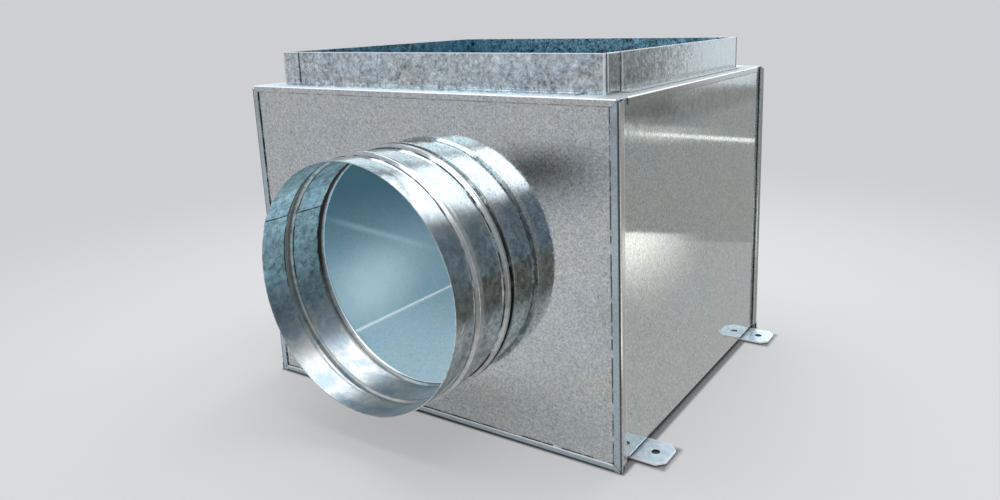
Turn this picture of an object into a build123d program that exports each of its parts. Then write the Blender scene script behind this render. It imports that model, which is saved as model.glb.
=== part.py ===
from build123d import *
import os

# Duct plenum box in galvanised sheet, folded and locked together.
# The front, with the round spigot, faces -Y; +Z is up.
# The box is drawn about its own middle and then moved back by half the spigot's reach,
# so the origin is on the surface that it stands on, under the middle of its whole outline.

# Driving dimensions, in millimetres

# Box, measured over its lock seams
box_width = 362.0
box_depth = 305.0
box_height = 269.0

# Sheet
sheet = 0.8  # thickness of every panel and of the collar
bend_inside = 0.2  # inner radius of a plain bend
corner_inside = 3.0  # inner radius of the two long bends of the wrap
play = 0.15  # room between folded layers

# Lock seams of the wrap
pocket_depth = 7.6  # reach of the raised pocket, back from the front of the box
side_lip = 7.0  # strip hammered over the front and back at the sides
bottom_lip = 5.6  # the same strip along the bottom
mitre_gap = 0.3

# Top
front_top_lip = 5.6  # edge of the top turned down over the front and back
side_top_lip = 5.2  # edge of the top turned down over the side walls
side_top_lip_inset = 17.0  # the side lips stop this far short of the front and back
rest_flange = 10.0  # wall edges turned in under the top
rest_flange_inset = 2.0  # room between a rest flange and the seam or flange beside it

# Collar round the top opening
collar_height = 28.0
collar_setback = 21.0  # from the outside of the box to the outside of the collar
collar_tab = 19.0  # end of each collar wall, wrapped on to the next wall
collar_foot = 9.0  # flange that lies on the top
collar_clear = 1.6  # height of the gap under the tabs

# Spigot
spigot_diameter = 198.0
spigot_sheet = 0.7
spigot_reach = 62.6  # from the front of the box to the rim
spigot_shift = -11.3  # centre, to the right of the front's middle
spigot_drop = 8.0  # centre, below the front's middle
bead_from_rim = 26.0
bead_width = 10.4
bead_crown = 4.2  # flat on top of the bead
bead_height = 2.7
stop_bead_width = 7.6
stop_bead_crown = 3.0
stop_bead_height = 3.0
bead_ease = 0.8  # cut on the shoulders of the beads
clinch_lip = 4.0  # end flared behind the front panel
clinch_angle = 45.0

# Fixing lugs under the bottom
lug_width = 30.0
lug_reach = 25.0  # out from the side wall
lug_tail = 30.0  # in under the bottom
lug_thickness = 1.5
lug_hole = 6.5
lug_hole_out = 12.5  # hole centre, out from the side wall
lug_corner = 6.0  # cut on the outer corners
lug_corner_round = 2.0
lug_front_gap = 20.0  # from the front of the box to the front lugs
lug_back_gap = 9.5  # from the back of the box to the back lugs

# Derived places

bend = bend_inside + sheet / 2
bend_outside = bend_inside + sheet

# A pocket seam stacks the folded sheet, the other panel's flange and the outer sheet.
seam_rise = 3 * (sheet + play)
wall_x = box_width / 2 - seam_rise
floor_z = seam_rise
half_depth = box_depth / 2

# The front and back panels stand behind the lips.
panel_setback = sheet + play
panel_back = panel_setback + sheet
flange_out = 2 * (sheet + play)  # outside of a locked flange, out from its wall
lip_bend = bend_outside + play + sheet / 2
lip_bend_outside = lip_bend + sheet / 2

inner_fold = (sheet + play) / 2
inner_fold_centre = panel_back + play + inner_fold + sheet / 2
outer_fold = sheet + play
outer_fold_centre = pocket_depth - outer_fold - sheet / 2

relief = seam_rise + sheet + corner_inside  # seams stop here, short of the long bends
rest_z = box_height - sheet - play  # upper face of the rest flanges
seam_top = rest_z - bend_outside

spigot_radius = spigot_diameter / 2
spigot_z = box_height / 2 - spigot_drop
front_face = -half_depth + panel_setback


def sheet_section(path, thickness=sheet):
    """Section of a folded sheet, drawn by its middle line."""
    return trace(path, thickness)


def bent(*points):
    """Middle line with a plain bend at each inner point."""
    return FilletPolyline(*points, radius=bend)


def mitred_section(points, thickness):
    """Section of a sheet along straight legs, drawn by its middle line and mitred at its corners."""
    line = [Vector(*point) for point in points]
    legs = [(end - start).normalized() for start, end in zip(line, line[1:])]
    upper = []
    lower = []
    for point, leg_in, leg_out in zip(line, legs[:1] + legs, legs + legs[-1:]):
        along = (leg_in + leg_out).normalized()
        across = Vector(-along.Y, along.X) * (thickness / 2 / along.dot(leg_in))
        upper.append(point + across)
        lower.append(point - across)
    return make_face(Polyline(*upper, *reversed(lower), close=True))


def front_plate(points):
    """Flat strip of sheet drawn in front view, with its outer face on the front of the box."""
    outline = make_face(Polyline(*points, close=True))
    return extrude(Plane.XZ.offset(half_depth) * outline, -sheet)


def front_and_back(solid):
    return solid + mirror(solid, about=Plane.XZ)


def left_and_right(solid):
    return solid + mirror(solid, about=Plane.YZ)


def seam_section():
    """Section of a whole wall of the wrap, with a pocket at the front and at the back.

    The first coordinate runs from front to back, the second out from the wall's outer face.
    """
    wall_v = -sheet / 2
    fold_v = wall_v + 2 * inner_fold
    outer_v = fold_v + 2 * outer_fold
    inner_u = inner_fold_centre - half_depth
    outer_u = outer_fold_centre - half_depth
    lip_u = lip_bend_outside - half_depth
    front_half = [
        Line((0, wall_v), (inner_u, wall_v)),
        CenterArc((inner_u, wall_v + inner_fold), inner_fold, 270, -180),
        Line((inner_u, fold_v), (outer_u, fold_v)),
        CenterArc((outer_u, fold_v + outer_fold), outer_fold, -90, 180),
        Line((outer_u, outer_v), (lip_u, outer_v)),
        CenterArc((lip_u, outer_v - lip_bend), lip_bend, 90, 90),
    ]
    half = sheet_section(front_half)
    return half + mirror(half, about=Plane.YZ)


def side_of_wrap():
    """Right side wall with its pockets, its lips and the flange that the top rests on."""
    section_plane = Plane((wall_x, 0, relief), x_dir=(0, 1, 0), z_dir=(0, 0, -1))
    wall = extrude(section_plane * seam_section(), seam_top - relief, dir=(0, 0, 1))
    outer = box_width / 2
    inner = outer - side_lip
    edge = outer - lip_bend_outside
    mitre_slope = front_top_lip / side_lip
    lip = front_plate(
        [
            (inner, bottom_lip + mitre_gap),
            (outer, mitre_gap),
            (outer, relief),
            (edge, relief),
            (edge, box_height - mitre_slope * lip_bend_outside - mitre_gap),
            (inner, box_height - front_top_lip - mitre_gap),
        ]
    )
    wall_middle = wall_x - sheet / 2
    rest_middle = rest_z - sheet / 2
    flange_path = bent(
        (wall_middle, seam_top - sheet),
        (wall_middle, rest_middle),
        (wall_x - rest_flange, rest_middle),
    )
    flange_half = half_depth - pocket_depth - rest_flange_inset
    flange = extrude(Plane.XZ * sheet_section(flange_path), flange_half, both=True)
    return wall + front_and_back(lip) + flange


def bottom_of_wrap():
    """Bottom with its pockets and lips."""
    half_length = box_width / 2 - relief
    section_plane = Plane((0, 0, floor_z), x_dir=(0, 1, 0), z_dir=(-1, 0, 0))
    floor = extrude(section_plane * seam_section(), half_length, both=True)
    outer = box_width / 2 - mitre_gap
    inner = outer - side_lip
    lip = front_plate(
        [
            (-outer, 0),
            (-half_length, 0),
            (-half_length, lip_bend_outside),
            (half_length, lip_bend_outside),
            (half_length, 0),
            (outer, 0),
            (inner, bottom_lip),
            (-inner, bottom_lip),
        ]
    )
    return floor + front_and_back(lip)


def long_bend_of_wrap():
    """Bend from the bottom to the right side wall, between the seams."""
    corner_middle = corner_inside + sheet / 2
    centre = (wall_x - sheet - corner_inside, relief)
    section = sheet_section(CenterArc(centre, corner_middle, -90, 90))
    half_length = half_depth - panel_back - play
    return extrude(Plane.XZ * section, half_length, both=True)


def make_wrap():
    """Side walls and bottom, folded from one sheet with a pocket along its edges."""
    return bottom_of_wrap() + left_and_right(long_bend_of_wrap()) + left_and_right(side_of_wrap())


def make_end_panel():
    """Front or back panel, with flanges that go into the wrap's pockets and under the top."""
    side_middle = wall_x + flange_out - sheet / 2
    bottom_middle = floor_z - flange_out + sheet / 2
    top_middle = rest_z - sheet / 2
    face_middle = front_face + sheet / 2
    flange_end = outer_fold_centre - half_depth
    rest_end = front_face + rest_flange
    flat_bottom = floor_z - flange_out + bend_outside
    section = sheet_section(
        bent(
            (-side_middle, flange_end),
            (-side_middle, face_middle),
            (side_middle, face_middle),
            (side_middle, flange_end),
        )
    )
    plate = extrude(Plane.XY.offset(flat_bottom) * section, seam_top - flat_bottom)
    bottom_path = bent(
        (flange_end, bottom_middle),
        (face_middle, bottom_middle),
        (face_middle, flat_bottom + sheet),
    )
    bottom_half = box_width / 2 - relief
    bottom_flange = extrude(Plane.YZ * sheet_section(bottom_path), bottom_half, both=True)
    top_path = bent(
        (face_middle, seam_top - sheet),
        (face_middle, top_middle),
        (rest_end, top_middle),
    )
    top_half = wall_x - rest_flange - rest_flange_inset
    top_flange = extrude(Plane.YZ * sheet_section(top_path), top_half, both=True)
    return plate + bottom_flange + top_flange


def make_front_panel():
    hole = Cylinder(spigot_radius + play, box_depth, rotation=(90, 0, 0))
    return make_end_panel() - Pos(spigot_shift, -half_depth, spigot_z) * hole


def make_top_panel():
    """Top with a rectangular opening under the collar and its edges turned down."""
    plate_middle = box_height - sheet / 2
    lip_middle = half_depth - sheet / 2
    plate_half = wall_x + play + sheet - bend_outside
    end_path = bent(
        (-lip_middle, box_height - front_top_lip),
        (-lip_middle, plate_middle),
        (lip_middle, plate_middle),
        (lip_middle, box_height - front_top_lip),
    )
    plate = extrude(Plane.YZ * sheet_section(end_path), plate_half, both=True)
    side_middle = wall_x + play + sheet / 2
    side_path = bent(
        (plate_half - sheet, plate_middle),
        (side_middle, plate_middle),
        (side_middle, box_height - side_top_lip),
    )
    side_half = half_depth - side_top_lip_inset
    side = extrude(Plane.XZ * sheet_section(side_path), side_half, both=True)
    outer = box_width / 2
    mitre_cut = front_plate(
        [
            (outer, box_height),
            (outer, box_height - front_top_lip),
            (outer - side_lip, box_height - front_top_lip),
        ]
    )
    opening = Box(
        box_width - 2 * (collar_setback + sheet),
        box_depth - 2 * (collar_setback + sheet),
        box_height / 2,
    )
    top = plate + left_and_right(side) - front_and_back(left_and_right(mitre_cut))
    return top - Pos(0, 0, box_height) * opening


def make_collar_wall(half_along, half_across, turn):
    """One collar wall, drawn as the front one and turned about Z to its side.

    Its foot is turned out on to the top. Beyond the foot the wall stands on the top at both ends,
    and its right end is wrapped round the corner as a tab.
    """
    wall_middle = sheet / 2 - half_across
    wall_start = sheet + play - half_along
    tab_middle = half_along + play + sheet / 2
    wall_path = bent(
        (wall_start, wall_middle),
        (tab_middle, wall_middle),
        (tab_middle, collar_tab - half_across),
    )
    base = box_height + collar_clear
    wall = extrude(
        Plane.XY.offset(base) * sheet_section(wall_path), collar_height - collar_clear
    )
    foot_path = bent(
        (wall_middle, base + sheet),
        (wall_middle, box_height + sheet / 2),
        (-half_across - collar_foot, box_height + sheet / 2),
    )
    foot_half = half_along - collar_tab
    foot = extrude(Plane.YZ * sheet_section(foot_path), foot_half, both=True)
    end_start = foot_half + mitre_gap
    end_lines = [
        Line((wall_start, wall_middle), (-end_start, wall_middle)),
        Line((end_start, wall_middle), (tab_middle - bend, wall_middle)),
    ]
    end_plane = Plane.XY.offset(box_height + play)
    ends = [extrude(end_plane * sheet_section(line), collar_height - play) for line in end_lines]
    return Rot(0, 0, turn) * (wall + foot + ends)


def bead(start, width, crown, height):
    """Outline of a rolled bead: distance along the spigot and rise, from foot to foot."""
    end = start + width
    shoulder = height - bead_ease
    flank = (width - crown) / 2
    flank_run = flank * shoulder / height
    crown_run = flank + bead_ease
    return [
        (start, 0),
        (start + flank_run, shoulder),
        (start + crown_run, height),
        (end - crown_run, height),
        (end - flank_run, shoulder),
        (end, 0),
    ]


def make_spigot():
    """Rolled ring with a seal bead, a stop bead against the front and a lip flared behind it."""
    rim = -half_depth - spigot_reach
    bead_start = rim + bead_from_rim - bead_width / 2
    stop_start = front_face - play - stop_bead_width
    clinch_start = front_face + sheet + 2 * play
    clinch_end = Vector(clinch_start, 0) + Vector(clinch_lip, 0).rotate(Axis.Z, clinch_angle)
    outline = [
        (rim, 0),
        *bead(bead_start, bead_width, bead_crown, bead_height),
        *bead(stop_start, stop_bead_width, stop_bead_crown, stop_bead_height),
        (clinch_start, 0),
        (clinch_end.X, clinch_end.Y),
    ]
    section = mitred_section(outline, spigot_sheet)
    section = Pos(0, spigot_radius - spigot_sheet / 2) * section
    section_plane = Plane((0, 0, 0), x_dir=(0, 1, 0), z_dir=(1, 0, 0))
    ring = revolve(section_plane * section, Axis.Y)
    return Pos(spigot_shift, 0, spigot_z) * ring


def make_lug(front_edge):
    """Right-hand lug: a flat plate under the bottom, with a screw hole outside the wall."""
    length = lug_tail + lug_reach
    middle = wall_x + (lug_reach - lug_tail) / 2
    outline = Pos(middle, front_edge + lug_width / 2) * Rectangle(length, lug_width)
    outer_corners = outline.vertices().group_by(Axis.X)[-1]
    outline = chamfer(outer_corners, lug_corner)
    cut_corners = [v for v in outline.vertices() if v.X > wall_x]
    outline = fillet(cut_corners, lug_corner_round)
    outline -= Pos(wall_x + lug_hole_out, front_edge + lug_width / 2) * Circle(lug_hole / 2)
    return extrude(Plane.XY.offset(floor_z - lug_thickness) * outline, lug_thickness)


half_collar_x = box_width / 2 - collar_setback
half_collar_y = half_depth - collar_setback
front_lug = make_lug(lug_front_gap - half_depth)
back_lug = make_lug(half_depth - lug_back_gap - lug_width)

nodes = {
    "casing_wrap": make_wrap(),
    "front_panel": make_front_panel(),
    "back_panel": mirror(make_end_panel(), about=Plane.XZ),
    "top_panel": make_top_panel(),
    "collar_front": make_collar_wall(half_collar_x, half_collar_y, 0),
    "collar_right": make_collar_wall(half_collar_y, half_collar_x, 90),
    "collar_back": make_collar_wall(half_collar_x, half_collar_y, 180),
    "collar_left": make_collar_wall(half_collar_y, half_collar_x, 270),
    "spigot": make_spigot(),
    "lug_front_right": front_lug,
    "lug_back_right": back_lug,
    "lug_front_left": mirror(front_lug, about=Plane.YZ),
    "lug_back_left": mirror(back_lug, about=Plane.YZ),
}

to_origin = Pos(0, spigot_reach / 2, 0)

os.makedirs("parts", exist_ok=True)
for name, solid in nodes.items():
    export_step(to_origin * solid, f"parts/{name}.step")
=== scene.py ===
import bpy
import math
from mathutils import Matrix, Vector


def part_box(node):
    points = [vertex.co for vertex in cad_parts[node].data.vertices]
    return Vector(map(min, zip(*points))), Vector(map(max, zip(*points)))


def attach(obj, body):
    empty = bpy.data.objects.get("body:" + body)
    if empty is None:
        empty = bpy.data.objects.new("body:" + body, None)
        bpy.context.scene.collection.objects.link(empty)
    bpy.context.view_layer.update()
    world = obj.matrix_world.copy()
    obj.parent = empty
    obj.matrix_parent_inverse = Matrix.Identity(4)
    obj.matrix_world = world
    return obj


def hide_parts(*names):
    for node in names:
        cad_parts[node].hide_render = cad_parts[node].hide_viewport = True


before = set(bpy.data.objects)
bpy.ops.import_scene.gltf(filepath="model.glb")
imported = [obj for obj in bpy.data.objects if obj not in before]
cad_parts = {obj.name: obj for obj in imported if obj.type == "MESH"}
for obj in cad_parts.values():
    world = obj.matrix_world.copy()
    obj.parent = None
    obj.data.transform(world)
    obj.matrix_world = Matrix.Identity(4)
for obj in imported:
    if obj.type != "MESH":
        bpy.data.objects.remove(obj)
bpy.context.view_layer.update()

# Casing wrap
# One galvanised sheet folded to a U: left wall, bottom and right wall.
# Its front and back edges are folded into pockets and hammered over the end panels.

MM = 0.001
wrap_low, wrap_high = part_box("casing_wrap")
chamber_middle = (wrap_low + wrap_high) / 2
half_depth = (wrap_high.y - wrap_low.y) / 2
wall_face = 178.15 * MM
pocket_mouth = half_depth - 7.6 * MM
side_lip_edge = 174.0 * MM
low_lip_edge = 5.6 * MM
bottom_fold = 4.6 * MM
shaded_band_height = 249.0 * MM


def input_socket(group, name, kind, value=None):
    socket = group.interface.new_socket(name, in_out="INPUT", socket_type=kind)
    if value is not None:
        socket.default_value = value


def output_socket(group, name, kind):
    group.interface.new_socket(name, in_out="OUTPUT", socket_type=kind)


def wire(links, socket, value):
    """Links a socket to another one, or sets it to a plain value."""
    if isinstance(value, bpy.types.NodeSocket):
        links.new(value, socket)
    else:
        socket.default_value = value


def maths(tree, operation, a, b=0.0, clamp=False):
    node = tree.nodes.new("ShaderNodeMath")
    node.operation = operation
    node.use_clamp = clamp
    wire(tree.links, node.inputs[0], a)
    wire(tree.links, node.inputs[1], b)
    return node.outputs[0]


def unsigned(tree, value):
    return maths(tree, "ABSOLUTE", value)


def all_of(tree, mask, *others):
    """The product of masks and strengths."""
    for other in others:
        mask = maths(tree, "MULTIPLY", mask, other)
    return mask


def without(tree, mask):
    return maths(tree, "SUBTRACT", 1.0, mask)


def vectors(tree, operation, a, b=(0, 0, 0)):
    node = tree.nodes.new("ShaderNodeVectorMath")
    node.operation = operation
    wire(tree.links, node.inputs[0], a)
    wire(tree.links, node.inputs[1], b)
    return node.outputs["Value" if operation in ("DOT_PRODUCT", "LENGTH") else "Vector"]


def scaled(tree, vector, scale):
    node = tree.nodes.new("ShaderNodeVectorMath")
    node.operation = "SCALE"
    wire(tree.links, node.inputs[0], vector)
    wire(tree.links, node.inputs["Scale"], scale)
    return node.outputs["Vector"]


def mixed(tree, kind, share, a, b):
    node = tree.nodes.new("ShaderNodeMix")
    node.data_type = kind
    sockets = [s for s in node.inputs if s.enabled]
    for socket, value in zip(sockets, (share, a, b)):
        wire(tree.links, socket, value)
    return next(s for s in node.outputs if s.enabled)


def ranged(tree, value, low, high, to_low=0.0, to_high=1.0, smooth=False):
    """Goes from one share to the other as the value goes from low to high, and stays there beyond."""
    node = tree.nodes.new("ShaderNodeMapRange")
    if smooth:
        node.interpolation_type = "SMOOTHSTEP"
    names = ("Value", "From Min", "From Max", "To Min", "To Max")
    for name, given in zip(names, (value, low, high, to_low, to_high)):
        wire(tree.links, node.inputs[name], given)
    return node.outputs["Result"]


def near(tree, value, middle, inner, outer):
    """1 within the inner distance of the middle value, 0 beyond the outer distance."""
    distance = unsigned(tree, maths(tree, "SUBTRACT", value, middle))
    return ranged(tree, distance, outer, inner)


def object_place(tree):
    return tree.nodes.new("ShaderNodeTexCoord").outputs["Object"]


def along_axes(tree, vector):
    node = tree.nodes.new("ShaderNodeSeparateXYZ")
    wire(tree.links, node.inputs[0], vector)
    return node.outputs


def noise(tree, place, scale, detail, roughness, distortion=0.0):
    node = tree.nodes.new("ShaderNodeTexNoise")
    node.inputs["Distortion"].default_value = distortion
    node.inputs["Detail"].default_value = detail
    node.inputs["Roughness"].default_value = roughness
    wire(tree.links, node.inputs["Vector"], place)
    wire(tree.links, node.inputs["Scale"], scale)
    return node.outputs


def patches(tree, place, scale, detail, roughness, between, shares=(0.0, 1.0), distortion=0.0):
    """A cloudy mask that goes from one share to the other between two values of noise."""
    cloud = noise(tree, place, scale, detail, roughness, distortion)["Fac"]
    return ranged(tree, cloud, *between, *shares)


def spangle_group():
    """Zinc crystals: tone, tint, gloss and a slight tilt that change from crystal to crystal.

    Faces within Half size that look towards Middle, into the chamber or the spigot, get the inside
    tint, gloss and metal; the inside tint is painted light and shade on these inner faces.
    """
    group = bpy.data.node_groups.new("Zinc spangle", "ShaderNodeTree")
    input_socket(group, "Crystals per metre", "NodeSocketFloat", 300.0)
    input_socket(group, "Crystal share", "NodeSocketFloat", 0.5)
    input_socket(group, "Mottling", "NodeSocketFloat", 0.0)
    input_socket(group, "Contrast", "NodeSocketFloat", 0.3)
    input_socket(group, "Warm", "NodeSocketColor")
    input_socket(group, "Cool", "NodeSocketColor")
    input_socket(group, "Tilt", "NodeSocketFloat", 0.05)
    input_socket(group, "Gloss from", "NodeSocketFloat", 0.2)
    input_socket(group, "Gloss to", "NodeSocketFloat", 0.35)
    input_socket(group, "Metal", "NodeSocketFloat", 1.0)
    input_socket(group, "Middle", "NodeSocketVector")
    input_socket(group, "Half size", "NodeSocketVector")
    input_socket(group, "Inside tint", "NodeSocketColor")
    input_socket(group, "Inside contrast", "NodeSocketFloat", 0.5)
    input_socket(group, "Inside gloss", "NodeSocketFloat", 0.35)
    input_socket(group, "Inside metal", "NodeSocketFloat", 0.5)
    output_socket(group, "Color", "NodeSocketColor")
    output_socket(group, "Roughness", "NodeSocketFloat")
    output_socket(group, "Metallic", "NodeSocketFloat")
    output_socket(group, "Normal", "NodeSocketVector")
    output_socket(group, "Inside", "NodeSocketFloat")
    given = group.nodes.new("NodeGroupInput").outputs
    out = group.nodes.new("NodeGroupOutput").inputs
    coordinates = group.nodes.new("ShaderNodeTexCoord").outputs
    place = coordinates["Object"]
    crystals = given["Crystals per metre"]

    # Crystals with wavy borders, the grain in them and the clouds over them.
    waves_per_crystal, wave_reach = 0.9, 1.1
    grains_per_crystal, mottles_per_crystal, clouds_per_metre = 0.6, 0.14, 24.0
    wobble = noise(group, place, maths(group, "MULTIPLY", crystals, waves_per_crystal), 2, 0.5)["Color"]
    wobble = vectors(group, "SUBTRACT", wobble, (0.5, 0.5, 0.5))
    wobble = scaled(group, wobble, maths(group, "DIVIDE", wave_reach, crystals))
    crystal = group.nodes.new("ShaderNodeTexVoronoi")
    wire(group.links, crystal.inputs["Vector"], vectors(group, "ADD", place, wobble))
    wire(group.links, crystal.inputs["Scale"], crystals)
    shares = group.nodes.new("ShaderNodeSeparateColor")
    wire(group.links, shares.inputs[0], crystal.outputs["Color"])
    grains = maths(group, "MULTIPLY", crystals, grains_per_crystal)
    grain = noise(group, place, grains, 6, 0.78, 0.8)
    mottles = maths(group, "MULTIPLY", crystals, mottles_per_crystal)
    mottle = noise(group, place, mottles, 4, 0.65, 1.5)["Fac"]
    clouds = noise(group, place, clouds_per_metre, 5, 0.62)["Fac"]

    # Colour: warm or cool by the clouds, lighter or darker by the crystals, grain and mottling.
    cloud_weight, crystal_weight, grain_weight, cool_start = 2.4, 0.5, 3.0, 0.25
    hue = maths(group, "MULTIPLY", maths(group, "SUBTRACT", clouds, 0.5), cloud_weight)
    hue = maths(group, "ADD", hue, maths(group, "MULTIPLY", shares.outputs[1], crystal_weight))
    hue = maths(group, "ADD", hue, cool_start, clamp=True)
    tint = mixed(group, "RGBA", hue, given["Warm"], given["Cool"])
    swing = 0.0
    for value, weight in (
        (shares.outputs[0], given["Crystal share"]),
        (grain["Fac"], grain_weight),
        (mottle, given["Mottling"]),
    ):
        part = maths(group, "MULTIPLY", maths(group, "SUBTRACT", value, 0.5), weight)
        swing = maths(group, "ADD", swing, part)
    swing = maths(group, "MULTIPLY", swing, given["Contrast"])
    tone = scaled(group, tint, maths(group, "ADD", 1.0, swing))

    # Inside: faces within the half size that look towards the middle.
    to_middle = vectors(group, "SUBTRACT", given["Middle"], place)
    inside = vectors(group, "DOT_PRODUCT", coordinates["Normal"], to_middle)
    inside = maths(group, "GREATER_THAN", inside, 0.0)
    room = vectors(group, "SUBTRACT", given["Half size"], vectors(group, "ABSOLUTE", to_middle))
    for side in along_axes(group, room):
        inside = all_of(group, inside, maths(group, "GREATER_THAN", side, 0.0))
    inner_swing = maths(group, "MULTIPLY", swing, given["Inside contrast"])
    inner_tone = scaled(group, tint, maths(group, "ADD", 1.0, inner_swing))
    # The inside tint paints light and shade on the inner faces.
    inner_tone = vectors(group, "MULTIPLY", inner_tone, given["Inside tint"])
    wire(group.links, out["Inside"], inside)
    wire(group.links, out["Color"], mixed(group, "RGBA", inside, tone, inner_tone))

    # Gloss and tilt of each crystal.
    gloss = maths(group, "ADD", shares.outputs[2], grain["Fac"])
    gloss = ranged(group, gloss, 0.3, 1.5, given["Gloss from"], given["Gloss to"])
    wire(group.links, out["Roughness"], mixed(group, "FLOAT", inside, gloss, given["Inside gloss"]))
    wire(group.links, out["Metallic"], mixed(group, "FLOAT", inside, given["Metal"], given["Inside metal"]))
    lean = vectors(group, "ADD", crystal.outputs["Color"], grain["Color"])
    lean = vectors(group, "SUBTRACT", lean, (1.0, 1.0, 1.0))
    normal = group.nodes.new("ShaderNodeNewGeometry").outputs["Normal"]
    normal = vectors(group, "ADD", normal, scaled(group, lean, given["Tilt"]))
    wire(group.links, out["Normal"], vectors(group, "NORMALIZE", normal))
    return group


spangle = spangle_group()


def galvanised(name, **values):
    """A metal whose colour, gloss and crystals come from the spangle group, with these values."""
    material = bpy.data.materials.new(name)
    material.use_nodes = True
    tree = material.node_tree
    zinc = tree.nodes.new("ShaderNodeGroup")
    zinc.name = "Zinc"
    zinc.node_tree = spangle
    for socket in zinc.inputs:
        value = values.get(socket.name.lower().replace(" ", "_"))
        if value is not None:
            socket.default_value = value
    shader = tree.nodes["Principled BSDF"]
    for output, entry in (
        ("Color", "Base Color"),
        ("Roughness", "Roughness"),
        ("Metallic", "Metallic"),
        ("Normal", "Normal"),
    ):
        tree.links.new(zinc.outputs[output], shader.inputs[entry])
    return material


def inside_mask(tree):
    return tree.nodes["Zinc"].outputs["Inside"]


def toned(material, mask, colour, roughness, metal):
    """Mixes another tone into a galvanised material where the mask is 1."""
    tree = material.node_tree
    shader = tree.nodes["Principled BSDF"]
    for entry, kind, value in (
        ("Base Color", "RGBA", (*colour, 1)),
        ("Roughness", "FLOAT", roughness),
        ("Metallic", "FLOAT", metal),
    ):
        before = shader.inputs[entry].links[0].from_socket
        tree.links.new(mixed(tree, kind, mask, before, value), shader.inputs[entry])


def finish(node_names, material):
    for name in node_names:
        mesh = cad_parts[name].data
        mesh.materials.clear()
        mesh.materials.append(material)


panel_look = dict(
    crystals_per_metre=900,
    crystal_share=0.5,
    mottling=0.6,
    contrast=0.65,
    warm=(0.575, 0.58, 0.555, 1),
    cool=(0.515, 0.57, 0.59, 1),
    tilt=0.004,
    gloss_from=0.015,
    gloss_to=0.09,
    metal=1.0,
    middle=chamber_middle,
    half_size=Vector((177.7, 151.0, 131.0)) * MM,
    # Painted cool light on the chamber's inner faces.
    inside_tint=(0.90, 1.08, 1.18, 1),
    inside_contrast=0.6,
    inside_gloss=0.42,
    inside_metal=0.55,
)

# Tones are a colour, a roughness and a share of metal.
strip_face_reflection = (0.37, 0.51, 0.59), 0.10, 1.0
strip_shadow = (0.10, 0.10, 0.10), 0.30, 0.8
pocket_zinc = (0.47, 0.45, 0.42), 0.22, 0.6
back_pocket_shade = (0.22, 0.23, 0.23), 0.30, 0.8
pocket_end_highlight = (0.95, 0.95, 0.92), 0.30, 0.3
pocket_step_shade = (0.38, 0.39, 0.38), 0.50, 0.2
low_lip_highlight = (0.95, 0.97, 1.0), 0.40, 0.2
bend_shadow = (0.05, 0.05, 0.05), 0.50, 0.4
wall_top_shadow = (0.30, 0.33, 0.33), 0.08, 1.0
low_wall_light = (0.86, 0.98, 1.0), 0.50, 0.0
high_wall_shade = (0.17, 0.30, 0.35), 0.40, 0.7
light_streak = (0.90, 1.0, 1.0), 0.50, 0.0
fold_highlight = (1.0, 1.0, 1.0), 0.40, 0.0

wrap_zinc = galvanised("Wrap zinc", **panel_look)
wrap_tree = wrap_zinc.node_tree
wrap_inside = inside_mask(wrap_tree)
wrap_outside = without(wrap_tree, wrap_inside)
wrap_place = object_place(wrap_tree)
wrap_axes = along_axes(wrap_tree, wrap_place)
wrap_height = wrap_axes["Z"]
side_reach = unsigned(wrap_tree, wrap_axes["X"])
from_middle = unsigned(wrap_tree, maths(wrap_tree, "SUBTRACT", wrap_axes["Y"], chamber_middle.y))
back_half = maths(wrap_tree, "GREATER_THAN", wrap_axes["Y"], chamber_middle.y)
beyond_wall = maths(wrap_tree, "GREATER_THAN", side_reach, wall_face + 0.25 * MM)

# The strips hammered over the front and back, with a painted bluish reflection on their faces and a painted
# shadow along their outer bend.
strip_face = ranged(wrap_tree, from_middle, half_depth - 0.6 * MM, half_depth - 0.3 * MM)
off_strip = without(wrap_tree, strip_face)
strip_bend = near(wrap_tree, side_reach, wall_face + 1.45 * MM, 0.4 * MM, 0.9 * MM)
toned(wrap_zinc, all_of(wrap_tree, strip_face, 0.55), *strip_face_reflection)
toned(wrap_zinc, all_of(wrap_tree, strip_face, strip_bend), *strip_shadow)

# The raised pockets beside the walls: side, mouth and step, with the back pocket painted darker as shade, a
# painted highlight at the front pocket's end and painted shade on its step.
pocket_side = ranged(wrap_tree, side_reach, wrap_high.x - 0.6 * MM, wrap_high.x - 0.3 * MM, 0.0, 0.7)
pocket_side = all_of(wrap_tree, pocket_side, off_strip)
toned(wrap_zinc, pocket_side, *pocket_zinc)
toned(wrap_zinc, all_of(wrap_tree, pocket_side, back_half), *back_pocket_shade)
pocket_end = near(wrap_tree, from_middle, pocket_mouth + 0.7 * MM, 0.4 * MM, 0.7 * MM)
pocket_end = all_of(wrap_tree, pocket_end, without(wrap_tree, back_half), beyond_wall)
toned(wrap_zinc, pocket_end, *pocket_end_highlight)
pocket_step = ranged(wrap_tree, from_middle, pocket_mouth + 0.3 * MM, pocket_mouth + 0.1 * MM)
step_reach = ranged(wrap_tree, side_reach, wall_face + 1.65 * MM, wall_face + 1.25 * MM)
toned(wrap_zinc, all_of(wrap_tree, pocket_step, step_reach, beyond_wall), *pocket_step_shade)

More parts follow.
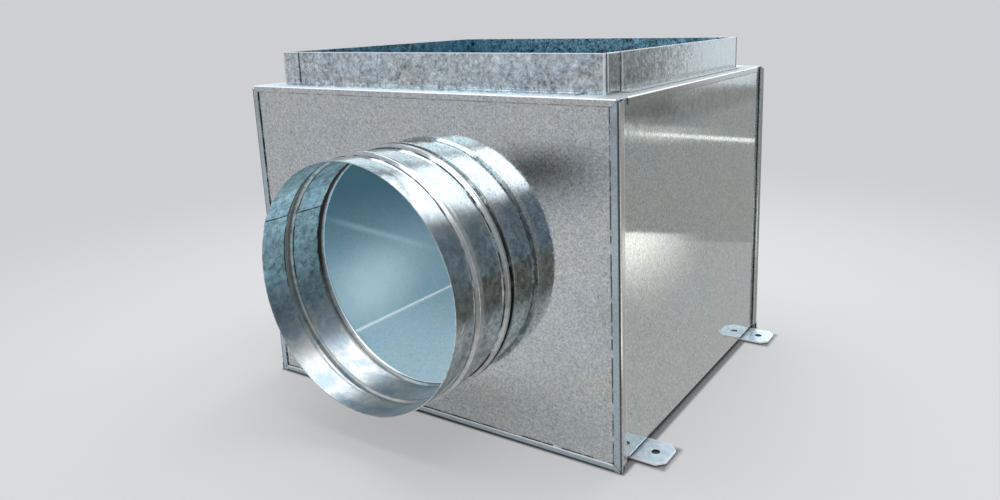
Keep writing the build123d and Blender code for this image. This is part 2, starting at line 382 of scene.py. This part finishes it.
# A painted highlight on the edge of the lower lip, painted shadow in the bend under the walls and painted
# shade in patches at the tops of the walls.
low_lip = near(wrap_tree, wrap_height, low_lip_edge - 0.4 * MM, 0.4 * MM, 0.7 * MM)
between_sides = maths(wrap_tree, "LESS_THAN", side_reach, side_lip_edge - 1.0 * MM)
toned(wrap_zinc, all_of(wrap_tree, low_lip, between_sides, strip_face), *low_lip_highlight)
bottom_bend = ranged(wrap_tree, wrap_height, bottom_fold + 0.8 * MM, bottom_fold + 0.1 * MM)
toned(wrap_zinc, all_of(wrap_tree, bottom_bend, wrap_outside, off_strip), *bend_shadow)
wall_top = near(wrap_tree, wrap_height, shaded_band_height, 5.0 * MM, 14.0 * MM)
shade_patches = patches(wrap_tree, wrap_place, 150.0, 8, 0.85, (0.38, 0.60), (0.05, 0.95))
within_wall = maths(wrap_tree, "LESS_THAN", side_reach, wall_face + 0.45 * MM)
wall_top = all_of(wrap_tree, wall_top, shade_patches, wrap_outside, within_wall)
toned(wrap_zinc, wall_top, *wall_top_shadow)

# The chamber: painted light low on the walls and painted shade above, with a painted streak of light across
# and a painted highlight on the fold.
pale_middle = (wrap_low.x, 0.0, 55 * MM)
pale_falloff = (0.0, 10.0, 13.0)
pale_shape = vectors(wrap_tree, "SUBTRACT", wrap_place, pale_middle)
pale_shape = vectors(wrap_tree, "MULTIPLY", pale_shape, pale_falloff)
from_pale = vectors(wrap_tree, "LENGTH", pale_shape)
pale_field = ranged(wrap_tree, from_pale, 1.0, 0.1, 0.30, 1.0, smooth=True)
pale_clouds = patches(wrap_tree, wrap_place, 30.0, 8, 0.7, (0.35, 0.6), (0.82, 1.0))
pale_cracks = patches(wrap_tree, wrap_place, 160.0, 6, 0.75, (0.36, 0.44), (0.82, 1.0))
above_fold = maths(wrap_tree, "GREATER_THAN", wrap_height, bottom_fold)
low_wall = ranged(wrap_tree, wrap_height, 150 * MM, 30 * MM, smooth=True)
low_wall = all_of(wrap_tree, low_wall, above_fold, pale_field, pale_clouds, pale_cracks)
toned(wrap_zinc, all_of(wrap_tree, wrap_inside, low_wall), *low_wall_light)
high_wall = ranged(wrap_tree, wrap_height, 60 * MM, 165 * MM, smooth=True)
toned(wrap_zinc, all_of(wrap_tree, wrap_inside, high_wall), *high_wall_shade)
streak_slope, streak_start = -0.47, 107.1 * MM
streak_height = maths(wrap_tree, "MULTIPLY", wrap_axes["Y"], streak_slope)
streak_height = maths(wrap_tree, "ADD", streak_height, streak_start)
streak = maths(wrap_tree, "SUBTRACT", wrap_height, streak_height)
streak = near(wrap_tree, streak, 0.0, 0.5 * MM, 5.0 * MM)
streak_length = near(wrap_tree, wrap_axes["Y"], 30 * MM, 40 * MM, 100 * MM)
toned(wrap_zinc, all_of(wrap_tree, wrap_inside, streak, streak_length, 0.35), *light_streak)
fold_line = near(wrap_tree, wrap_height, bottom_fold + 1.0 * MM, 0.8 * MM, 1.3 * MM)
toned(wrap_zinc, all_of(wrap_tree, wrap_inside, fold_line), *fold_highlight)
finish(["casing_wrap"], wrap_zinc)

# Front and back panels
# Flat galvanised sheets, flanged on all sides; the front has the hole for the spigot.
# The side and bottom flanges are locked in the wrap's pockets, with painted shade in broken lines along the
# pocket edges.

# Near-black painted shade, for gaps, creases and a hole.
painted_shade_colour = (0.03, 0.03, 0.03)
painted_shade = painted_shade_colour, 0.6, 0.3


def any_of(tree, mask, *others):
    """The largest of some masks."""
    for other in others:
        mask = maths(tree, "MAXIMUM", mask, other)
    return mask


end_zinc = galvanised("End panel zinc", **panel_look)
end_tree = end_zinc.node_tree
end_place = object_place(end_tree)
end_axes = along_axes(end_tree, end_place)
end_reach = unsigned(end_tree, end_axes["X"])
side_seam = ranged(end_tree, end_reach, side_lip_edge - 1.9 * MM, side_lip_edge - 1.1 * MM)
low_seam = ranged(end_tree, end_axes["Z"], low_lip_edge + 1.1 * MM, low_lip_edge + 0.5 * MM)
seam_breaks = patches(end_tree, end_place, 120.0, 3, 0.6, (0.40, 0.52))
seam_lines = any_of(end_tree, side_seam, low_seam)
seam_lines = all_of(end_tree, seam_lines, seam_breaks, without(end_tree, inside_mask(end_tree)))
toned(end_zinc, seam_lines, *painted_shade)
finish(["front_panel", "back_panel"], end_zinc)

# Top panel
# Galvanised sheet with a rectangular opening for the collar.
# Its edges are turned down over the walls.

top_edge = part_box("top_panel")[1]
collar_face_x = 160.0 * MM
up_faces_light = (0.54, 0.63, 0.69), 0.35, 0.05
right_strip_shade = (0.28, 0.30, 0.30), 0.40, 0.2
brownish_lip = (0.40, 0.38, 0.35), 0.20, 0.8
top_bend_highlight = (0.97, 0.98, 1.0), 0.40, 0.1
lip_shadow = (0.06, 0.055, 0.05), 0.50, 0.4


def object_normal(tree):
    return tree.nodes.new("ShaderNodeTexCoord").outputs["Normal"]


top_zinc = galvanised("Top zinc", **panel_look)
top_tree = top_zinc.node_tree
top_place = object_place(top_tree)
top_axes = along_axes(top_tree, top_place)
top_sides = along_axes(top_tree, object_normal(top_tree))
# Faces looking up get painted pale bluish light from above; on the right of the collar they get painted
# shade.
facing_up = ranged(top_tree, top_sides["Z"], 0.5, 0.9, 0.0, 0.85)
toned(top_zinc, facing_up, *up_faces_light)
side_strip = ranged(top_tree, top_axes["X"], collar_face_x - 1.0 * MM, collar_face_x + 2.0 * MM)
toned(top_zinc, all_of(top_tree, facing_up, side_strip), *right_strip_shade)
side_lip = ranged(top_tree, unsigned(top_tree, top_sides["X"]), 0.5, 0.8, 0.0, 0.5)
toned(top_zinc, side_lip, *brownish_lip)
# A painted highlight along the bend at the top edge.
top_bend = near(top_tree, top_axes["Z"], top_edge.z - 0.5 * MM, 0.3 * MM, 0.45 * MM)
toned(top_zinc, all_of(top_tree, top_bend, 0.9), *top_bend_highlight)
turned_down = ranged(top_tree, top_sides["Z"], 0.3, 0.1)
lip_end = ranged(top_tree, top_axes["Z"], top_edge.z - 4.4 * MM, top_edge.z - 4.8 * MM)
lip_breaks = patches(top_tree, top_place, 90.0, 4, 0.6, (0.40, 0.55), (0.1, 0.5))
toned(top_zinc, all_of(top_tree, lip_end, turned_down, lip_breaks), *lip_shadow)
finish(["top_panel"], top_zinc)

# Collar
# Four folded strips of a coarser galvanised sheet, each with its end lapped round the corner.
# Each stands on the top by a foot, spot-welded to it.

collar_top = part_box("collar_front")[1].z
collar_face_y = 131.5 * MM
tab_end = -110.8 * MM
tab_glint_place = -106.3 * MM
dull_foot = (0.36, 0.38, 0.38), 0.45, 0.1
far_wall_reflection = (0.60, 0.62, 0.615), 0.12, 1.0
tab_highlight = (0.90, 0.93, 0.95), 0.40, 0.2
edge_highlight = (0.92, 0.95, 0.97), 0.40, 0.5
corner_shadow = (0.10, 0.11, 0.12), 0.40, 0.6
collar_look = dict(
    panel_look,
    crystals_per_metre=480,
    crystal_share=0.4,
    mottling=1.6,
    contrast=1.0,
    warm=(0.53, 0.565, 0.565, 1),
    cool=(0.48, 0.57, 0.63, 1),
    tilt=0.03,
    gloss_from=0.06,
    gloss_to=0.22,
    half_size=Vector((159.5, 131.0, 400.0)) * MM,
    # Painted teal shade on the collar's inner faces.
    inside_tint=(0.50, 0.78, 0.90, 1),
    inside_contrast=1.8,
    inside_gloss=0.22,
    inside_metal=0.9,
)
collar_zinc = galvanised("Collar zinc", **collar_look)
collar_tree = collar_zinc.node_tree
collar_outside = without(collar_tree, inside_mask(collar_tree))
collar_place = object_place(collar_tree)
collar_axes = along_axes(collar_tree, vectors(collar_tree, "SUBTRACT", collar_place, chamber_middle))
collar_reach = unsigned(collar_tree, collar_axes["X"])
outer_face = near(collar_tree, collar_reach, collar_face_x + 0.5 * MM, 0.7 * MM, 0.75 * MM)
foot = ranged(collar_tree, collar_reach, collar_face_x + 1.3 * MM, collar_face_x + 1.6 * MM, 0.0, 0.85)
toned(collar_zinc, foot, *dull_foot)

# Along a side wall, from the end with the lapped tab to the far end: a painted paler reflection, stronger
# towards the far end, a painted highlight near the tab, and painted shade in broken lines where the tab ends.
along_wall = maths(collar_tree, "SIGN", collar_axes["X"])
along_wall = maths(collar_tree, "MULTIPLY", collar_axes["Y"], along_wall)
far_wall = ranged(collar_tree, along_wall, -80 * MM, 60 * MM, 0.3, 0.85, smooth=True)
toned(collar_zinc, all_of(collar_tree, outer_face, far_wall), *far_wall_reflection)
tab_glint = near(collar_tree, along_wall, tab_glint_place, 0.6 * MM, 1.0 * MM)
toned(collar_zinc, all_of(collar_tree, tab_glint, outer_face, 0.4), *tab_highlight)
tab_line = near(collar_tree, along_wall, tab_end, 1.8 * MM, 2.4 * MM)
tab_breaks = patches(collar_tree, collar_place, 160.0, 2, 0.5, (0.36, 0.46))
toned(collar_zinc, all_of(collar_tree, tab_line, outer_face, tab_breaks), *painted_shade)

# A painted highlight on the cut edge at the top, and at the corners a painted highlight beside the bend and
# painted shade in it and at the far end.
cut_edge = along_axes(collar_tree, collar_place)["Z"]
cut_edge = ranged(collar_tree, cut_edge, collar_top - 0.7 * MM, collar_top - 0.4 * MM)
from_corner = unsigned(collar_tree, collar_axes["Y"])
from_corner = maths(collar_tree, "SUBTRACT", collar_face_y, from_corner)
side_corner = near(collar_tree, from_corner, 1.6 * MM, 0.9 * MM, 1.3 * MM)
side_corner = all_of(collar_tree, side_corner, outer_face)
far_end = maths(collar_tree, "GREATER_THAN", along_wall, 0.0)
far_corner = all_of(collar_tree, side_corner, far_end)
side_glint = maths(collar_tree, "SUBTRACT", side_corner, far_corner)
end_glint = near(collar_tree, collar_reach, collar_face_x - 1.3 * MM, 0.5 * MM, 0.8 * MM)
end_face = maths(collar_tree, "LESS_THAN", from_corner, 1.0 * MM)
corner_glint = any_of(collar_tree, side_glint, all_of(collar_tree, end_glint, end_face))
corner_glint = all_of(collar_tree, corner_glint, collar_outside, 0.6)
toned(collar_zinc, any_of(collar_tree, cut_edge, corner_glint), *edge_highlight)
collar_normal = along_axes(collar_tree, object_normal(collar_tree))
corner_bend = maths(collar_tree, "MULTIPLY", collar_normal["X"], collar_normal["Y"])
corner_bend = ranged(collar_tree, unsigned(collar_tree, corner_bend), 0.15, 0.35)
dark_corner = all_of(collar_tree, any_of(collar_tree, corner_bend, far_corner), collar_outside)
toned(collar_zinc, dark_corner, *corner_shadow)
finish(["collar_front", "collar_right", "collar_back", "collar_left"], collar_zinc)

# Spigot
# A strip of galvanised sheet, beaded and rolled to a ring whose ends lap at the upper left.
# Its stop bead meets the front and its end is flared behind the panel.

ring_low, ring_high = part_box("spigot")
ring_middle = (ring_low + ring_high) / 2
stop_bead_height = 3.0 * MM
ring_radius = (ring_high.x - ring_low.x) / 2 - stop_bead_height
ring_axis = (ring_middle.x, 0, ring_middle.z)
ring_sheet = 0.7 * MM
bend_cut, bend_segments = 0.3 * MM, 3
smooth_angle = math.radians(35)
seam_turn = math.radians(64)
seam_gap = math.radians(1.0)
lap_turn = math.radians(6)
ring_steps, lap_steps = 220, 6

# The ring's outer line from the rim to the flared end: each leg's way along and its rise, in mm.
ring_legs = [
    (21.0, 0.0),
    (0.7, -0.25),
    (2.0, 2.95),
    (4.8, 0.0),
    (2.0, -2.95),
    (0.7, 0.25),
    (24.9, 0.0),
    (0.6, -0.25),
    (1.7, 3.25),
    (2.6, 0.0),
    (1.7, -3.0),
    (1.95, 0.0),
    (2.8, 2.8),
]


def rolled(name, start, sweep, steps, lift):
    """The ring's outer line, drawn leg by leg from one point at the top, rounded and spun about the axis."""
    bpy.ops.object.select_all(action="DESELECT")
    bpy.ops.mesh.primitive_plane_add(size=0.01)
    strip = bpy.context.object
    strip.name = name
    bpy.ops.object.mode_set(mode="EDIT")
    bpy.ops.mesh.select_all(action="SELECT")
    bpy.ops.mesh.merge(type="CENTER")
    rim_top = (ring_middle.x, ring_low.y, ring_middle.z + ring_radius + lift)
    bpy.ops.transform.translate(value=rim_top)
    for along, rise in ring_legs:
        step = {"value": (0, along * MM, rise * MM)}
        bpy.ops.mesh.extrude_vertices_move(TRANSFORM_OT_translate=step)
    bpy.ops.mesh.select_all(action="SELECT")
    bpy.ops.mesh.bevel(offset=bend_cut, segments=bend_segments, affect="VERTICES")
    bpy.ops.mesh.select_all(action="SELECT")
    bpy.ops.transform.rotate(value=start, orient_axis="Y", center_override=ring_axis)
    bpy.ops.mesh.spin(steps=steps, angle=sweep, center=ring_axis, axis=(0, 1, 0))
    bpy.ops.mesh.select_all(action="SELECT")
    bpy.ops.mesh.remove_doubles(threshold=0.01 * MM)
    bpy.ops.mesh.normals_make_consistent(inside=False)
    bpy.ops.object.mode_set(mode="OBJECT")
    wall = strip.modifiers.new("wall", "SOLIDIFY")
    wall.thickness = ring_sheet
    wall.offset = -1
    bpy.ops.object.modifier_apply(modifier=wall.name)
    bpy.ops.object.shade_smooth_by_angle(angle=smooth_angle)
    return strip


ring = rolled("spigot_ring", seam_turn, math.tau - seam_gap, ring_steps, 0)
lap = rolled("spigot_lap", seam_turn - lap_turn / 2, lap_turn, lap_steps, ring_sheet)
bpy.ops.object.select_all(action="DESELECT")
lap.select_set(True)
ring.select_set(True)
bpy.context.view_layer.objects.active = ring
bpy.ops.object.join()

# Places along the ring, from the rim.
creases_from_rim = (21.6 * MM, 30.8 * MM, 56.6 * MM)
seal_crown, stop_crown, gap_start = 25.2 * MM, 59.3 * MM, 61.2 * MM
seal_hollow, stop_hollow, flare_bend = 26.1 * MM, 59.8 * MM, 64.2 * MM

smooth_zinc = (0.54, 0.58, 0.61), 0.12, 1.0
crease_painted_shade = painted_shade_colour, 0.5, 0.5
low_ring_brown = (0.36, 0.345, 0.32), 0.30, 0.75
low_ring_blue = (0.15, 0.22, 0.28), 0.28, 0.75
crown_reflection = (0.64, 0.61, 0.56), 0.30, 0.6
seal_groove_brown = (0.34, 0.31, 0.27), 0.35, 0.6
stop_groove_shade = (0.07, 0.06, 0.05), 0.50, 0.4
flare_highlight_white = (0.95, 0.97, 1.0), 0.35, 0.5
spigot_look = dict(
    panel_look,
    crystals_per_metre=240,
    crystal_share=0.4,
    mottling=0.8,
    contrast=0.85,
    warm=(0.58, 0.59, 0.585, 1),
    cool=(0.50, 0.60, 0.65, 1),
    tilt=0.015,
    gloss_from=0.05,
    gloss_to=0.17,
    middle=ring_middle,
    half_size=(1, 1, 1),
    # Painted cool shade inside the ring.
    inside_tint=(0.75, 0.81, 0.81, 1),
    inside_contrast=1.2,
    inside_gloss=0.27,
    inside_metal=0.85,
)
spigot_zinc = galvanised("Spigot zinc", **spigot_look)
spigot_tree = spigot_zinc.node_tree
spigot_place = object_place(spigot_tree)
spigot_axes = along_axes(spigot_tree, spigot_place)
from_rim = maths(spigot_tree, "SUBTRACT", spigot_axes["Y"], ring_low.y)
ring_height = maths(spigot_tree, "SUBTRACT", spigot_axes["Z"], ring_middle.z)
ring_inside = inside_mask(spigot_tree)
ring_outside = without(spigot_tree, ring_inside)

# Outside: a smooth top, painted shade in the creases beside the beads, and painted shade in the gap at the
# front, stronger lower down.
smooth_top = ranged(spigot_tree, ring_height, 20 * MM, 60 * MM, 0.0, 0.6)
toned(spigot_zinc, all_of(spigot_tree, smooth_top, ring_outside), *smooth_zinc)
creases = any_of(
    spigot_tree,
    *(near(spigot_tree, from_rim, crease, 0.4 * MM, 0.8 * MM) for crease in creases_from_rim),
)
crease_breaks = patches(spigot_tree, spigot_place, 90.0, 3, 0.6, (0.36, 0.50))
toned(spigot_zinc, all_of(spigot_tree, creases, crease_breaks), *crease_painted_shade)
behind_bead = ranged(spigot_tree, from_rim, gap_start, gap_start + 0.4 * MM)
gap_breaks = patches(spigot_tree, spigot_place, 110.0, 4, 0.7, (0.38, 0.46))
gap_depth = ranged(spigot_tree, ring_height, 75 * MM, 15 * MM, 0.35, 1.0)
toned(spigot_zinc, all_of(spigot_tree, behind_bead, ring_outside, gap_breaks, gap_depth), *painted_shade)

# Inside at the bottom: brown and blue patches.
upper_ring = ranged(spigot_tree, ring_height, -55 * MM, -5 * MM)
lower_inside = all_of(spigot_tree, ring_inside, without(spigot_tree, upper_ring))
toned(spigot_zinc, all_of(spigot_tree, lower_inside, 0.75), *low_ring_brown)
blue_patches = patches(spigot_tree, spigot_place, 38.0, 5, 0.65, (0.46, 0.60), (0.0, 0.65), 0.6)
toned(spigot_zinc, all_of(spigot_tree, lower_inside, blue_patches), *low_ring_blue)

# A painted cream reflection on the bead crowns, stronger lower down; inside, in the upper half, brown in the
# seal bead's groove and painted shade in the stop bead's groove; and a painted highlight at the flare's bend
# inside.
crowns = any_of(
    spigot_tree,
    near(spigot_tree, from_rim, seal_crown, 3.2 * MM, 3.6 * MM),
    near(spigot_tree, from_rim, stop_crown, 1.9 * MM, 2.2 * MM),
)
lower_crown_share = ranged(spigot_tree, ring_height, 85 * MM, 50 * MM, 0.05, 0.5)
toned(spigot_zinc, all_of(spigot_tree, crowns, ring_outside, lower_crown_share), *crown_reflection)
upper_inside = all_of(spigot_tree, ring_inside, upper_ring)
seal_groove = near(spigot_tree, from_rim, seal_hollow, 2.0 * MM, 2.6 * MM)
toned(spigot_zinc, all_of(spigot_tree, upper_inside, seal_groove), *seal_groove_brown)
stop_groove = near(spigot_tree, from_rim, stop_hollow, 2.0 * MM, 2.6 * MM)
toned(spigot_zinc, all_of(spigot_tree, upper_inside, stop_groove), *stop_groove_shade)
flare_highlight = near(spigot_tree, from_rim, flare_bend, 0.5 * MM, 0.9 * MM)
toned(spigot_zinc, all_of(spigot_tree, ring_inside, flare_highlight), *flare_highlight_white)
ring.data.materials.clear()
ring.data.materials.append(spigot_zinc)
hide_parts("spigot")
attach(ring, "root")

# Fixing lugs
# Stamped zinc-plated plates, each with a hole for one screw.
# They are spot-welded under the bottom.

lugs_middle = Vector((0.0, 36.55, 0.0)) * MM
holes_apart = Vector((190.65, 122.75, 0.0)) * MM
lug_half = Vector((12.5, 15.0, 1.0)) * MM
cut_corner_line = 21.5 * MM
lug_hole_radius = 3.25 * MM
cut_edge_highlight = (0.97, 0.99, 1.0), 0.35, 0.0
lug_look = dict(
    panel_look,
    crystals_per_metre=300,
    contrast=0.25,
    warm=(0.74, 0.84, 0.90, 1),
    cool=(0.66, 0.82, 0.92, 1),
    tilt=0.02,
    gloss_from=0.28,
    gloss_to=0.36,
    metal=0.7,
)


def from_lug_holes(tree, place):
    """Way from the nearest lug hole's axis, with the four lugs folded on to one."""
    folded = vectors(tree, "ABSOLUTE", vectors(tree, "SUBTRACT", place, lugs_middle))
    return vectors(tree, "MULTIPLY", vectors(tree, "SUBTRACT", folded, holes_apart), (1, 1, 0))


lug_zinc = galvanised("Lug zinc", **lug_look)
lug_tree = lug_zinc.node_tree
hole_offset = from_lug_holes(lug_tree, object_place(lug_tree))
hole_axes = along_axes(lug_tree, hole_offset)
along_lug = hole_axes["X"]
across_lug = unsigned(lug_tree, hole_axes["Y"])
corner_way = maths(lug_tree, "ADD", along_lug, across_lug)
lug_side = unsigned(lug_tree, along_axes(lug_tree, object_normal(lug_tree))["Z"])
lug_side = ranged(lug_tree, lug_side, 0.6, 0.4)
# A painted highlight along the edges of the top face and on the side faces.
lug_rim = any_of(
    lug_tree,
    ranged(lug_tree, across_lug, lug_half.y - 0.6 * MM, lug_half.y - 0.4 * MM),
    ranged(lug_tree, along_lug, lug_half.x - 0.6 * MM, lug_half.x - 0.4 * MM),
    ranged(lug_tree, corner_way, cut_corner_line - 0.7 * MM, cut_corner_line - 0.4 * MM),
)
toned(lug_zinc, any_of(lug_tree, lug_rim, lug_side), *cut_edge_highlight)
# Painted shade on the wall of the hole.
hole_way = vectors(lug_tree, "LENGTH", hole_offset)
hole_wall = ranged(lug_tree, hole_way, lug_hole_radius + 0.75 * MM, lug_hole_radius + 0.35 * MM)
toned(lug_zinc, all_of(lug_tree, lug_side, hole_wall), *painted_shade)
finish(["lug_front_right", "lug_back_right", "lug_front_left", "lug_back_left"], lug_zinc)

# Studio
# A pale floor that fades into a plain grey background, two large soft lights above the box,
# and cards that only reflections see, as bright and dark sides of the room.

background = (0.618, 0.625, 0.653)
floor_grey = (0.24, 0.24, 0.24, 1)
floor_glow = (0.365, 0.365, 0.368, 1)
floor_size, floor_roughness = 6.0, 0.9
floor_fade_start, floor_fade_end = 0.3, 1.1
box_contact, lug_contact = 2.5 * MM, 4.0 * MM
scene = bpy.context.scene
scene.view_settings.view_transform = "Standard"

world = bpy.data.worlds.new("Plain grey")
scene.world = world
world.use_nodes = True
sky = world.node_tree.nodes["Background"]
sky.inputs["Color"].default_value = (*background, 1)
bpy.ops.object.select_all(action="DESELECT")
bpy.ops.mesh.primitive_plane_add(size=floor_size)
floor = bpy.context.object
floor.name = "floor"
floor_paint = bpy.data.materials.new("Floor paint")
floor_paint.use_nodes = True
floor_tree = floor_paint.node_tree
floor_shader = floor_tree.nodes["Principled BSDF"]
floor_shader.inputs["Base Color"].default_value = floor_grey
floor_shader.inputs["Emission Color"].default_value = floor_glow
floor_shader.inputs["Roughness"].default_value = floor_roughness
floor_shader.inputs["Specular IOR Level"].default_value = 0.0
floor_place = object_place(floor_tree)


def open_floor(way, half_size, contact):
    """0 under a thing on the floor, 1 from the contact distance on; the way is from its middle."""
    way = vectors(floor_tree, "ABSOLUTE", way)
    way = vectors(floor_tree, "MAXIMUM", vectors(floor_tree, "SUBTRACT", way, half_size), (0, 0, 0))
    return ranged(floor_tree, vectors(floor_tree, "LENGTH", way), 0.0, contact)


# The floor's glow is taken away under the box and lugs and just beside them: a painted contact shadow.
foot_middle = Vector((chamber_middle.x, chamber_middle.y, 0))
foot_half = Vector((wrap_high.x, half_depth, 1))
from_foot = vectors(floor_tree, "SUBTRACT", floor_place, foot_middle)
clear_of_box = open_floor(from_foot, foot_half, box_contact)
clear_of_lugs = open_floor(from_lug_holes(floor_tree, floor_place), lug_half, lug_contact)
glow_strength = all_of(floor_tree, clear_of_box, clear_of_lugs)
floor_tree.links.new(glow_strength, floor_shader.inputs["Emission Strength"])
from_centre = vectors(floor_tree, "LENGTH", floor_place)
fade = ranged(floor_tree, from_centre, floor_fade_start, floor_fade_end, smooth=True)
clear = floor_tree.nodes.new("ShaderNodeBsdfTransparent")
floor_mix = floor_tree.nodes.new("ShaderNodeMixShader")
floor_tree.links.new(fade, floor_mix.inputs[0])
floor_tree.links.new(floor_shader.outputs[0], floor_mix.inputs[1])
floor_tree.links.new(clear.outputs[0], floor_mix.inputs[2])
floor_tree.links.new(floor_mix.outputs[0], floor_tree.nodes["Material Output"].inputs["Surface"])
floor.data.materials.append(floor_paint)


def soft_light(name, place, target, size, power, colour):
    lamp = bpy.data.lights.new(name, "AREA")
    lamp.shape = "RECTANGLE"
    lamp.size, lamp.size_y = size
    lamp.energy = power
    lamp.color = colour
    lamp_object = bpy.data.objects.new(name, lamp)
    scene.collection.objects.link(lamp_object)
    lamp_object.location = place
    lamp_object.rotation_euler = (Vector(target) - Vector(place)).to_track_quat("-Z", "Y").to_euler()


daylight = (0.90, 0.96, 1.0)
soft_light("back light", (0.0, 1.10, 1.40), (0, -0.1, 0.2), (1.3, 1.0), 12.0, daylight)
soft_light("top light", (-0.1, 0.1, 1.6), (-0.1, 0.1, 0), (1.8, 1.3), 28.0, daylight)


def card(name, place, tilt, turn, size, colour, soft=(0, 0, 0, 0)):
    """A glowing plane that lights nothing and shows in reflections only.

    Soft holds the shares of the card over which it fades out at its left, right, near and far edge.
    """
    bpy.ops.object.select_all(action="DESELECT")
    angles = (math.radians(tilt), 0, math.radians(turn))
    bpy.ops.mesh.primitive_plane_add(size=1, location=place, rotation=angles)
    plane = bpy.context.object
    plane.name = name
    plane.scale = (*size, 1)
    plane.visible_camera = False
    plane.visible_diffuse = False
    plane.visible_shadow = False
    paint = bpy.data.materials.new(name)
    paint.use_nodes = True
    tree = paint.node_tree
    glow = tree.nodes.new("ShaderNodeEmission")
    glow.inputs["Color"].default_value = (*colour, 1)
    clear = tree.nodes.new("ShaderNodeBsdfTransparent")
    axes = along_axes(tree, object_place(tree))
    share = 1.0
    for (axis, sign), width in zip((("X", -1), ("X", 1), ("Y", -1), ("Y", 1)), soft):
        if width:
            reach = maths(tree, "MULTIPLY", axes[axis], sign)
            share = all_of(tree, ranged(tree, reach, 0.5, 0.5 - width, smooth=True), share)
    blend = tree.nodes.new("ShaderNodeMixShader")
    wire(tree.links, blend.inputs[0], share)
    tree.links.new(clear.outputs[0], blend.inputs[1])
    tree.links.new(glow.outputs[0], blend.inputs[2])
    tree.links.new(blend.outputs[0], tree.nodes["Material Output"].inputs["Surface"])
    plane.data.materials.append(paint)


FLAT, UPRIGHT, FACING_DOWN = 0, 90, 135
SOFT_SIDES = (0.35, 0.35, 0, 0)
SOFT_ROUND = (0.5, 0.5, 0.5, 0.5)
SOFT_BELOW = (0.2, 0.25, 0.35, 0.1)
SOFT_NEAR = (0.6, 0, 0.9, 0.05)
SOFT_FAR = (0.3, 0.3, 0, 0.9)
SOFT_LENGTH = (0.4, 0.4, 0.1, 0.1)
SOFT_EDGES = (0.1, 0.15, 0.1, 0.1)
ROOM_TURN, CAMERA_TURN = -20.1, 42.4
card("glow_behind", (0.05, 1.10, 1.32), FACING_DOWN, 0, (1.3, 0.8), (4.0, 4.1, 4.2), SOFT_SIDES)
card("glow_in_front", (0.12, -1.45, 1.35), FACING_DOWN, 180, (1.7, 0.9), (3.4, 3.5, 3.6), (0.3, 0.25, 0, 0))
card("bright_backdrop", (-0.55, 1.7, 0.55), UPRIGHT, 0, (2.8, 0.9), (0.88, 0.97, 1.04))
card("dark_side", (1.39, 1.31, 0.5), UPRIGHT, -35, (1.2, 1.2), (0.28, 0.29, 0.28))
card("dark_floor", (0.733, 1.47, 0.003), FLAT, ROOM_TURN, (2.4, 2.2), (0.44, 0.45, 0.44))
card("floor_band", (0.84, 1.30, 0.006), FLAT, 0, (0.5, 0.34), (0.80, 0.80, 0.77), (0.6, 0, 0.3, 0.2))
card("floor_line", (0.70, 1.27, 0.009), FLAT, 0, (0.8, 0.05), (1.6, 1.6, 1.55), (0.4, 0, 0, 0))
card("table_edge", (0.367, 0.285, 0.006), FLAT, ROOM_TURN, (0.18, 0.34), (1.6, 1.59, 1.52), SOFT_NEAR)
card("shaded_floor", (0.36, 0.13, 0.0006), FLAT, ROOM_TURN, (0.50, 0.62), (0.57, 0.575, 0.57), (0, 0, 0.2, 0))
card("dark_in_front", (-0.48, -1.02, 0.003), FLAT, -31.5, (0.46, 0.95), (0.12, 0.13, 0.14), SOFT_ROUND)
card("camera_side", (1.0, -1.25, 0.50), UPRIGHT, 40, (1.5, 1.4), (0.27, 0.33, 0.365), (0.2, 0.2, 0, 0.3))
card("camera_shade", (0.70, -0.84, 0.006), FLAT, CAMERA_TURN, (0.9, 0.9), (0.25, 0.29, 0.31), SOFT_FAR)
card("glow_on_the_left", (-1.1, -1.44, 0.88), UPRIGHT, 0, (1.3, 0.95), (1.8, 2.0, 2.1), SOFT_BELOW)
card("camera_floor", (0.55, -0.68, 0.003), FLAT, CAMERA_TURN, (0.6, 1.25), (0.23, 0.23, 0.21), SOFT_LENGTH)
card("floor_on_the_right", (0.68, -0.115, 0.006), FLAT, 0, (0.8, 0.33), (1.5, 1.5, 1.45), SOFT_EDGES)

# Camera
# Placed and turned as the one that took the photograph, from a fit to the box's corners.
# Its lens shift only sets the picture's frame.

photo_width = 1000.0
focal_px = 790.06
axis_px = (554.28, 192.82)
middle_px = (500.0, 250.0)
camera_place = Vector((413.13, -573.48, 325.38)) * MM
turn, pitch, roll = (math.radians(angle) for angle in (32.074, 12.947, -1.622))
camera_data = bpy.data.cameras.new("camera")
camera = bpy.data.objects.new("camera", camera_data)
scene.collection.objects.link(camera)
camera_data.sensor_width = 36.0
camera_data.lens = camera_data.sensor_width * focal_px / photo_width
camera_data.shift_x = (middle_px[0] - axis_px[0]) / photo_width
camera_data.shift_y = (axis_px[1] - middle_px[1]) / photo_width
camera_data.clip_start = 0.01
camera.matrix_world = (
    Matrix.Translation(camera_place)
    @ Matrix.Rotation(turn, 4, "Z")
    @ Matrix.Rotation(math.pi / 2 - pitch, 4, "X")
    @ Matrix.Rotation(roll, 4, "Z")
)
scene.camera = camera
